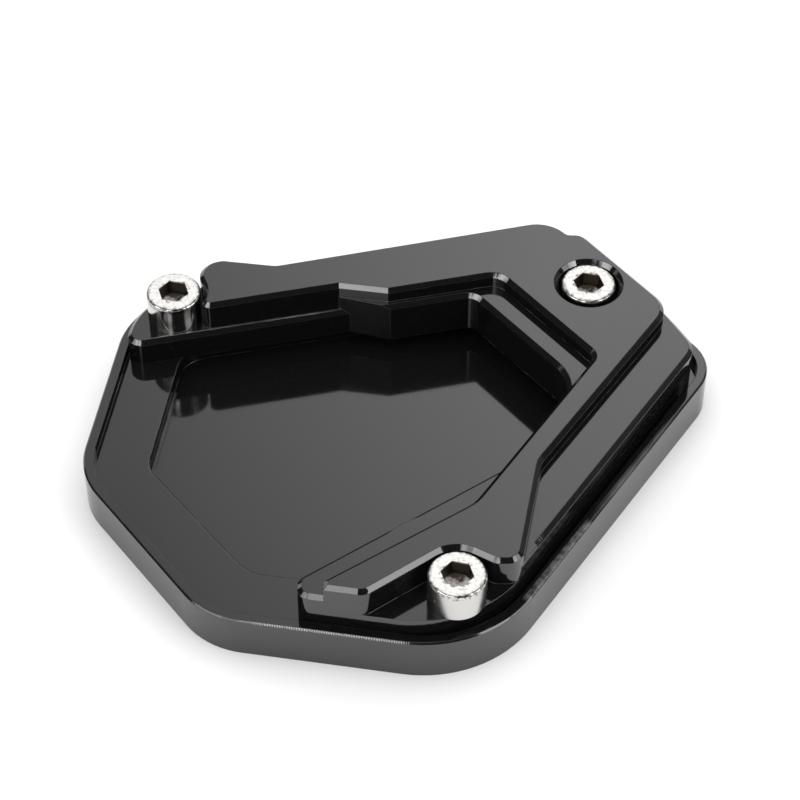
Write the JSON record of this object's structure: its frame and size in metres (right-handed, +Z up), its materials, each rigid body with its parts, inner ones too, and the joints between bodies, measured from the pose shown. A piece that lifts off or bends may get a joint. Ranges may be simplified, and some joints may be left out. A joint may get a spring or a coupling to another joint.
{
  "type": "kickstand foot enlarger",
  "caption": "Wide foot plate for a motorbike side stand: a rimmed plate with a pocket for the stand's foot, and a stepped C-shaped clamp plate screwed on over its edge.",
  "frame": {"origin": "on the ground, under the middle of the base plate's outline", "axes": "+Z up, away from the ground; +X to the viewer's right and +Y away from the viewer in the picture, so the open mouth of the clamp plate points to -X and -Y"},
  "size_m": [0.1122, 0.0976, 0.018],
  "materials": {
    "base_plate": "gloss black anodised over milled faces",
    "clamp_plate": "gloss black anodised over milled faces",
    "screws": "bright turned stainless steel"
  },
  "bodies": {
    "root": {"base_plate": "base_plate", "clamp_plate": "clamp_plate", "screw_left": "screws", "screw_right": "screws", "screw_front": "screws"}
  },
  "joints": []
}
